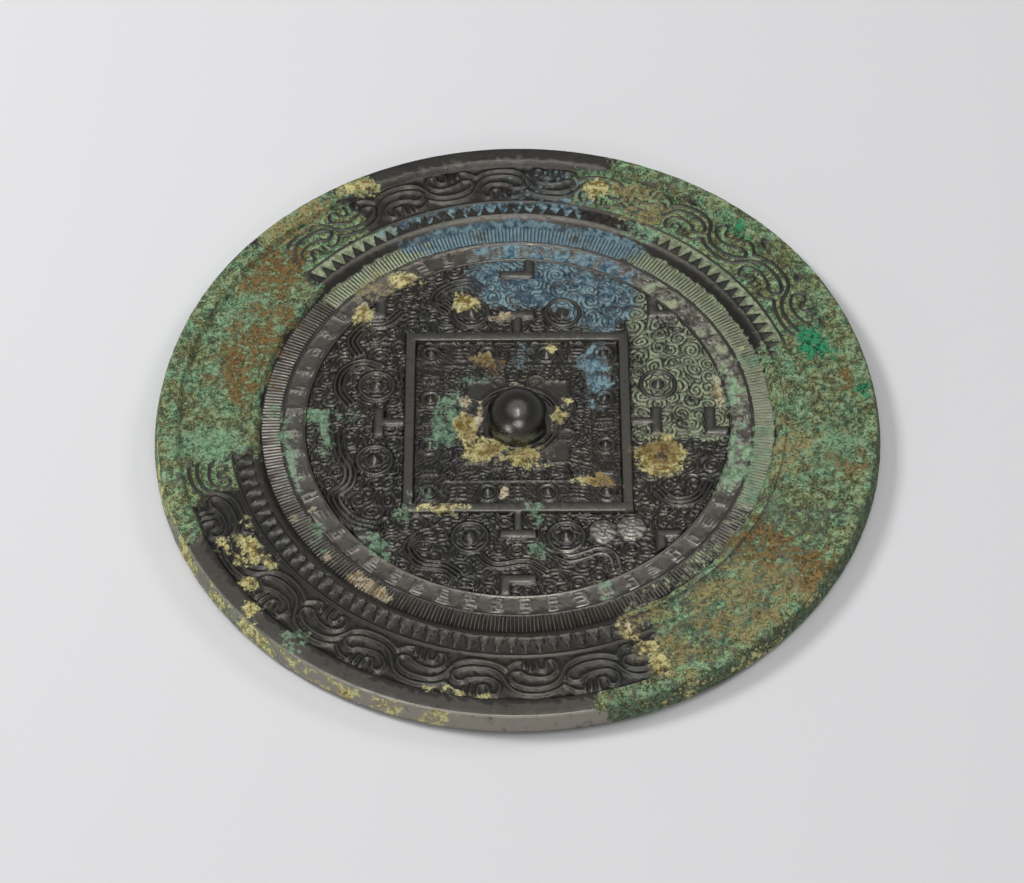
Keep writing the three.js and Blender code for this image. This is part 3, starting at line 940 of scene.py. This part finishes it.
def add_masks(mesh):
    """How far each point is inside each kind of corrosion, how far it stands over its floor, and where shade,
    sheen and highlights are painted.
    """
    count = len(mesh.vertices)
    co = np.empty(count * 3, np.float32)
    mesh.vertices.foreach_get("co", co)
    co = co.reshape(-1, 3).astype(float) / MM
    p, z = Places(co[:, 0], co[:, 1]), co[:, 2]
    wall = (p.radius > EDGE_RADIUS - RIM_WALL_SLANT + 0.15) & (z < level(RIM_HEIGHT) - 0.15)
    below = (p.radius < EDGE_RADIUS - BOTTOM_ROUND) & (z < underside_height(p.radius) + 0.6)
    plain_side = wall | below
    on_knob = (p.radius < KNOB_RADIUS + 0.1) & (z > level(FIELD_HEIGHT + LEAF_RISE) + 0.2)
    raised = np.where(plain_side, 0.3, (z - level(ring_profile(p.radius))) / local_rise(p))
    # A pale film on the knob's front and lower part: partly a film, partly painted reflection of the floor in
    # front.
    knob_front = on_knob * step(-p.y, -2, 8) * (1 - step(z - level(FIELD_HEIGHT), 2, 10))
    polish = np.where(p.radius > BAND_OUTER, 0.2, 0.5)
    polish = np.where((p.radius < BAND_INNER) & (raised > 1.3), 0.4, polish)
    masks = {name: np.where(plain_side, -9, area(p)) - 30.0 * on_knob for name, area in CORROSION.items()}
    masks |= {"raised": raised, "hidden": buried(p), "polish": polish}
    for name, where, values in (
        ("thick", wall, wall_crust(p)), ("thick", below, underside_crust(p)), ("ochre", wall, wall_ochre(p)),
        ("film", on_knob, 1.5 * knob_front - 0.9), ("raised", on_knob, 1 - 0.5 * knob_front),
        ("hidden", plain_side, 1), ("polish", on_knob, 1 - 0.3 * step(-p.y, 0, 6)),
    ):
        masks[name] = np.where(where, values, masks[name])
    masks["wall"] = wall.astype(float)
    masks["shade"] = wall * step(p.x, -20, 30)
    plain_band = np.minimum(p.radius - PLAIN_BAND_INNER, SAW_ROOT - p.radius)
    masks["plain"] = np.maximum(p.radius - RIM_INNER, plain_band)
    # Painted sheen: the plain band all round, and the rim's top on the near side only, are made paler.
    near_side = np.where(p.radius < SAW_ROOT, 1.5, step(-p.y, -20, 40))
    masks["paler"] = step(masks["plain"], -0.1, 0.2) * near_side
    # Painted highlight: a thin pale line along the rim's top edge.
    masks["edge"] = 1 - np.abs(p.radius - EDGE_RADIUS + RIM_WALL_SLANT - 0.05) / 0.35
    masks["band"] = np.minimum(p.radius - BAND_INNER - 0.4, BAND_OUTER - 0.4 - p.radius)
    # Where raised metal is painted paler: partly silvery metal, partly painted highlight.
    masks["bright"] = patches(p, BRIGHT_PLACES)
    masks["comb"] = np.minimum(p.radius - COMB_INNER, COMB_OUTER - p.radius)
    for name in ("band", "comb", "plain", "paler", "edge", "bright"):
        masks[name] = np.where(below, np.minimum(masks[name], 0) - 9 * (name != "paler"), masks[name])
    for name, values in masks.items():
        attribute = mesh.attributes.new(name, "FLOAT", "POINT")
        attribute.data.foreach_set("value", np.clip(values, -15, 15).astype(np.float32))


def local_rise(p):
    """How far the ornament stands over its floor, in each zone."""
    half = np.maximum(np.abs(p.x), np.abs(p.y))
    rise = np.where(half < FRAME_HALF, 0.5, 0.42)
    rise = np.where(p.radius > BAND_INNER, INSCRIPTION_RISE, rise)
    rise = np.where(p.radius > BAND_OUTER, COMB_RISE, rise)
    rise = np.where(p.radius > SAW_ROOT, PLAIN_BAND_HEIGHT - SAW_FLOOR, rise)
    return np.where(p.radius > SCROLL_LINE, SCROLL_RISE, rise)


# Materials
class Graph:
    """A small helper to write a node tree."""

    def __init__(self, tree):
        self.tree = tree
        self.nodes = tree.nodes

    def put(self, socket, value):
        if isinstance(value, bpy.types.NodeSocket):
            self.tree.links.new(value, socket)
        else:
            socket.default_value = value

    def node(self, kind, inputs=(), **settings):
        made = self.nodes.new(kind)
        for name, value in settings.items():
            setattr(made, name, value)
        for key, value in dict(inputs).items():
            self.put(made.inputs[key], value)
        return made

    def math(self, operation, *values):
        return self.node("ShaderNodeMath", enumerate(values), operation=operation).outputs[0]

    def times(self, *values):
        return reduce(lambda a, b: self.math("MULTIPLY", a, b), values)

    def most(self, *values):
        return reduce(lambda a, b: self.math("MAXIMUM", a, b), values)

    def ramp(self, value, low, high, smooth="SMOOTHSTEP", **ends):
        """From 0 to 1, or between the ends given, as the value goes from low to high."""
        inputs = {"Value": value, "From Min": low, "From Max": high}
        inputs |= {f"To {end.title()}": amount for end, amount in ends.items()}
        return self.node("ShaderNodeMapRange", inputs, interpolation_type=smooth).outputs["Result"]

    def mix(self, share, a, b):
        """Mixes two colours, each the output of a node or as it looks on a screen."""
        a, b = [paint(*colour) if isinstance(colour, tuple) else colour for colour in (a, b)]
        return self.node("ShaderNodeMix", {0: share, 6: a, 7: b}, data_type="RGBA").outputs[2]

    def blend(self, share, a, b):
        return self.node("ShaderNodeMix", {0: share, 2: a, 3: b}, data_type="FLOAT").outputs[0]

    def attribute(self, name):
        return self.node("ShaderNodeAttribute", attribute_name=name).outputs["Fac"]


class AgedGraph(Graph):
    """Adds the noises that all the layers share, and ways to lay one colour over another."""

    def __init__(self, tree):
        super().__init__(tree)
        self.nodes.clear()
        self.place = self.node("ShaderNodeTexCoord").outputs["Object"]
        self.blotches = self.noise(170, 4)
        self.middle = self.noise(520, 4, 0.65)
        self.fine = self.noise(1250, 3, 0.7)
        self.grit = self.noise(2600, 2)
        self.raised = self.attribute("raised")
        self.comb = self.within("comb", -0.3, 0.3)

    def noise(self, scale, detail, roughness=0.6):
        """Noise in the object's own place; scale is in waves per metre."""
        inputs = {"Vector": self.place, "Scale": scale, "Detail": detail, "Roughness": roughness}
        return self.node("ShaderNodeTexNoise", inputs).outputs["Fac"]

    def within(self, name, low, high):
        return self.ramp(self.attribute(name), low, high)

    def area(self, name, spread, soft):
        """An area with a ragged edge. spread is how far the noise moves the edge, in millimetres."""
        wobble = self.attribute(name)
        for source, share in ((self.blotches, 6), (self.middle, 5), (self.fine, 3)):
            wobble = self.math("MULTIPLY_ADD", self.math("SUBTRACT", source, 0.5), share * spread, wobble)
        return self.ramp(wobble, -soft, soft)

    def tones(self, source, low, high, dark, light):
        return self.mix(self.ramp(source, low, high), dark, light)

    def layered(self, colour, layers):
        """Lays each layer over those before it. A layer has factors of its share, and a colour."""
        for *shares, coat in layers:
            colour = self.mix(self.times(*shares), colour, coat)
        return colour


def paint(*colour):
    """A colour given as it looks on a screen, from 0 to 255, as linear light."""
    shares = [value / 255 for value in colour]
    return (*[s / 12.92 if s <= 0.04045 else ((s + 0.055) / 1.055) ** 2.4 for s in shares], 1.0)


def metal_colour(g):
    """Dark grey: paler in clouds, on the inscription's band and wall, with painted highlights on edges and
    tops, and painted shade in the recesses.
    """
    clouds = g.tones(g.noise(45, 4), 0.35, 0.65, (98, 97, 94), (110, 107, 100))
    return g.layered(clouds, [
        (g.within("band", -0.3, 0.3), 0.8, (178, 172, 162)),
        (g.attribute("wall"), (146, 142, 133)),
        # Painted shade: the low floor between the ornament is darkened, except on the plain bands.
        (g.ramp(g.raised, 0.5, -0.1), g.within("plain", 0.1, -0.3), 0.45, (58, 56, 52)),
        # Painted highlight on the tops of the comb's teeth, with some wear.
        (g.comb, g.ramp(g.raised, 0.3, 0.6), 0.85, (204, 198, 186)),
        # Lighter on the highest relief, bosses and bars: painted highlight, with some wear.
        (g.ramp(g.raised, 1.3, 1.9), 0.55, (134, 131, 124)),
        # Paler raised metal in the bright places: silvery, and partly a painted highlight.
        (g.within("bright", -0.5, 0.8), g.ramp(g.raised, 0.5, 1.1), 0.6, (196, 192, 182)),
        # Painted sheen on the plain band and the near part of the rim's top.
        (g.attribute("paler"), 0.4, (136, 131, 121)),
        # Painted highlight along the rim's top edge.
        (g.within("edge", 0.2, 0.8), 0.6, (190, 186, 174)),
        (g.ramp(g.middle, 0.56, 0.7), 0.45, (54, 53, 49)),
        (g.ramp(g.grit, 0.7, 0.76), g.ramp(g.blotches, 0.4, 0.6), 0.6, (196, 192, 182)),
    ])


# Dark and light tone of the green, olive, mint and brown grains
GRAINS = [
    ((50, 74, 52), (114, 142, 106)), ((70, 74, 44), (134, 140, 94)),
    ((80, 126, 94), (138, 180, 144)), ((60, 52, 28), (112, 96, 56)),
]


def crust_colour(g):
    """Green, olive, mint and brown in grains, with dark and light patches, pits and pale grains."""
    green, olive, mint, brown = [g.tones(g.fine, 0.4, 0.6, dark, light) for dark, light in GRAINS]
    cells = g.noise(270, 5, 0.65)
    return g.layered(green, [
        (g.ramp(g.blotches, 0.42, 0.58), olive),
        (g.ramp(cells, 0.54, 0.61), 0.75, mint),
        (g.ramp(cells, 0.46, 0.4), 0.7, brown),
        (g.ramp(g.middle, 0.53, 0.59), 0.75, (48, 56, 40)),
        (g.ramp(g.middle, 0.46, 0.4), 0.6, (152, 176, 136)),
        (g.ramp(g.grit, 0.57, 0.64), 0.7, (36, 38, 26)),
        (g.ramp(g.grit, 0.42, 0.36), 0.55, (160, 176, 140)),
        (g.attribute("shade"), 0.55, (46, 52, 38)),
    ])


def crusted(g):
    """Where the green crust lies: thick beds, and thin green on the ornament's floor."""
    floor = g.ramp(g.raised, 0.85, 0.35)
    bed = g.area("thick", 1.4, 0.5)
    deep = g.most(g.attribute("hidden"), g.ramp(g.raised, 0.95, 0.4))
    return bed, g.most(g.times(g.area("green", 1.6, 0.8), floor), g.times(bed, deep))


def stained(g, colour, bed):
    """The pale film, which on the knob's front is partly painted reflection, and the blue stain. It returns
    the new colour and how much is covered.
    """
    pale = g.tones(g.middle, 0.4, 0.6, (116, 126, 98), (158, 168, 138))
    pale = g.layered(pale, [(g.ramp(g.fine, 0.56, 0.68), 0.7, (66, 70, 54))])
    film_area = g.area("film", 1.2, 0.7)
    thin = g.times(film_area, g.ramp(g.raised, 0.75, 0.3), 0.92)
    thin = g.times(thin, g.math("SUBTRACT", 1.0, bed))
    blue_area = g.area("blue", 1.6, 1.2)
    blue = g.times(blue_area, g.ramp(g.raised, 0.85, 0.35), g.ramp(g.blotches, 0.25, 0.45))
    covered = g.most(thin, blue)
    grooves = g.times(covered, g.comb, g.ramp(g.raised, 0.6, 0.1), 0.65)
    tops = g.times(g.most(film_area, blue_area), g.comb, g.ramp(g.raised, 0.55, 0.85), 0.65)
    return g.layered(colour, [
        (thin, pale),
        (blue, g.tones(g.middle, 0.38, 0.62, (48, 76, 96), (122, 148, 154))),
        (grooves, g.mix(blue, (184, 194, 162), (132, 164, 178))),
        (tops, (76, 78, 70)),
    ]), covered


# Area, how far noise moves its edge, how soft the edge is, its greatest share, and its dark and light tones
SPOT_LAYERS = [
    ("tan", 2.8, 1.2, 0.7, (92, 76, 42), (166, 154, 106)),
    ("mint", 2.2, 1.0, 0.7, (62, 106, 80), (142, 182, 146)),
    ("ochre", 1.5, 0.6, 0.95, (120, 98, 42), (202, 196, 140)),
    ("rust", 2.6, 1.2, 0.8, (64, 50, 28), (130, 98, 54)),
    ("emerald", 2.2, 0.8, 0.95, (4, 58, 40), (44, 146, 100)),
    ("pale", 0.7, 0.4, 0.9, (146, 124, 88), (208, 196, 168)),
]


def bronze_material():
    material = bpy.data.materials.new("aged_bronze")
    material.use_nodes = True
    g = AgedGraph(material.node_tree)
    bed, covered = crusted(g)
    colour = g.mix(covered, metal_colour(g), crust_colour(g))
    colour, stain = stained(g, colour, bed)
    covered = g.most(covered, stain)
    uneven = g.math("ADD", g.times(g.middle, 0.6), g.times(g.fine, 0.4))
    for name, spread, soft, greatest, dark, light in SPOT_LAYERS:
        share = g.times(g.area(name, spread, soft), g.ramp(g.fine, 0.68, 0.54), greatest)
        colour = g.mix(share, colour, g.tones(uneven, 0.44, 0.56, dark, light))
        covered = g.most(covered, share)
    metal_rough = g.blend(g.attribute("polish"), 0.46, 0.15)
    metal_rough = g.math("MULTIPLY_ADD", g.math("SUBTRACT", g.middle, 0.5), 0.3, metal_rough)
    grainy = g.math("ADD", g.times(g.fine, 0.7), g.times(g.grit, 0.3))
    bump = {"Height": grainy, "Strength": g.blend(covered, 0.12, 1.0), "Distance": 0.0007}
    shader = g.node("ShaderNodeBsdfPrincipled", {
        "Base Color": colour,
        "Roughness": g.blend(covered, metal_rough, 0.85),
        "Metallic": g.math("SUBTRACT", 1.0, covered),
        "Normal": g.node("ShaderNodeBump", bump).outputs["Normal"],
    })
    g.put(g.node("ShaderNodeOutputMaterial").inputs[0], shader.outputs[0])
    return material


def paper_material():
    material = bpy.data.materials.new("pale_paper")
    material.use_nodes = True
    shader = material.node_tree.nodes["Principled BSDF"]
    shader.inputs["Base Color"].default_value = (0.64, 0.64, 0.65, 1)
    shader.inputs["Roughness"].default_value = 0.9
    return material


# Surroundings, in metres
FLOOR_HALF = 6.0
FLOOR_GAP = 0.00005
# Name, place, size, power, and whether it shows in the metal
LIGHTS = [
    ("key", (-0.8, 0.3, 0.92), (0.32, 0.32), 9.5, False),
    ("side", (2.2, 1.5, 2.0), (0.9, 0.9), 25, False),
    ("overhead", (0.0, -0.4, 1.5), (0.3, 0.5), 2.5, True),
    ("front", (0.15, -1.7, 1.15), (1.1, 0.5), 6, True),
    ("low", (-0.95, -1.5, 0.3), (0.5, 0.5), 3.5, True),
]

# Camera, in millimetres, degrees and points of the picture
FOCAL_PIXELS = 3239.0
PICTURE_WIDTH = 1024
SENSOR_WIDTH = 36
CAMERA_ELEVATION = 52.27
CAMERA_DISTANCE = 851.2
CAMERA_ROLL = -0.30
PICTURE_SHIFT = (5.5, -15.0)


def camera():
    data = bpy.data.cameras.new("camera")
    data.sensor_width = SENSOR_WIDTH
    data.lens = FOCAL_PIXELS / PICTURE_WIDTH * SENSOR_WIDTH
    data.shift_x = -PICTURE_SHIFT[0] / PICTURE_WIDTH
    data.shift_y = PICTURE_SHIFT[1] / PICTURE_WIDTH
    data.clip_start = 0.01
    data.clip_end = 50
    tilt = Matrix.Rotation(math.radians(90 - CAMERA_ELEVATION), 4, "X")
    roll = Matrix.Rotation(math.radians(CAMERA_ROLL), 4, "Z")
    target = Matrix.Translation((0, 0, UNDERSIDE_RISE * MM))
    piece = placed("camera", data)
    piece.matrix_world = target @ tilt @ roll @ Matrix.Translation((0, 0, CAMERA_DISTANCE * MM))
    bpy.context.scene.camera = piece


def soft_light(name, place, size, power, shows):
    """An area light that faces the mirror."""
    data = bpy.data.lights.new(name, "AREA")
    data.shape = "RECTANGLE"
    data.size, data.size_y = size
    data.energy = power
    piece = placed(name, data)
    turn = (-Vector(place)).to_track_quat("-Z", "Y").to_matrix().to_4x4()
    piece.matrix_world = Matrix.Translation(place) @ turn
    piece.visible_glossy = shows


def floor():
    h = FLOOR_HALF
    mesh = bpy.data.meshes.new("floor")
    mesh.from_pydata([(-h, -h, 0), (h, -h, 0), (h, h, 0), (-h, h, 0)], [], [(0, 1, 2, 3)])
    piece = placed("floor", mesh)
    piece.location.z = -FLOOR_GAP
    mesh.materials.append(paper_material())


def sky():
    """A soft sky, a little brighter near the horizon and brightest overhead."""
    world = bpy.data.worlds.new("studio")
    world.use_nodes = True
    g = Graph(world.node_tree)
    direction = g.node("ShaderNodeTexCoord").outputs["Generated"]
    upward = g.node("ShaderNodeSeparateXYZ", {0: direction}).outputs["Z"]
    around = g.ramp(upward, 0.1, 0.6, "LINEAR", min=0.28, max=0.17)
    above = g.ramp(upward, 0.77, 0.9, "LINEAR", max=0.6)
    background = g.nodes["Background"]
    background.inputs["Color"].default_value = (1.0, 1.0, 1.01, 1)
    g.put(background.inputs["Strength"], g.math("ADD", around, above))
    bpy.context.scene.world = world


def surroundings():
    floor()
    sky()
    for light in LIGHTS:
        soft_light(*light)
    bpy.context.scene.view_settings.view_transform = "Standard"


def build():
    camera()
    surroundings()
    mirror = casting()
    mirror.data.materials.clear()
    mirror.data.materials.append(bronze_material())
    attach(mirror, "root")
    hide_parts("mirror")


build()
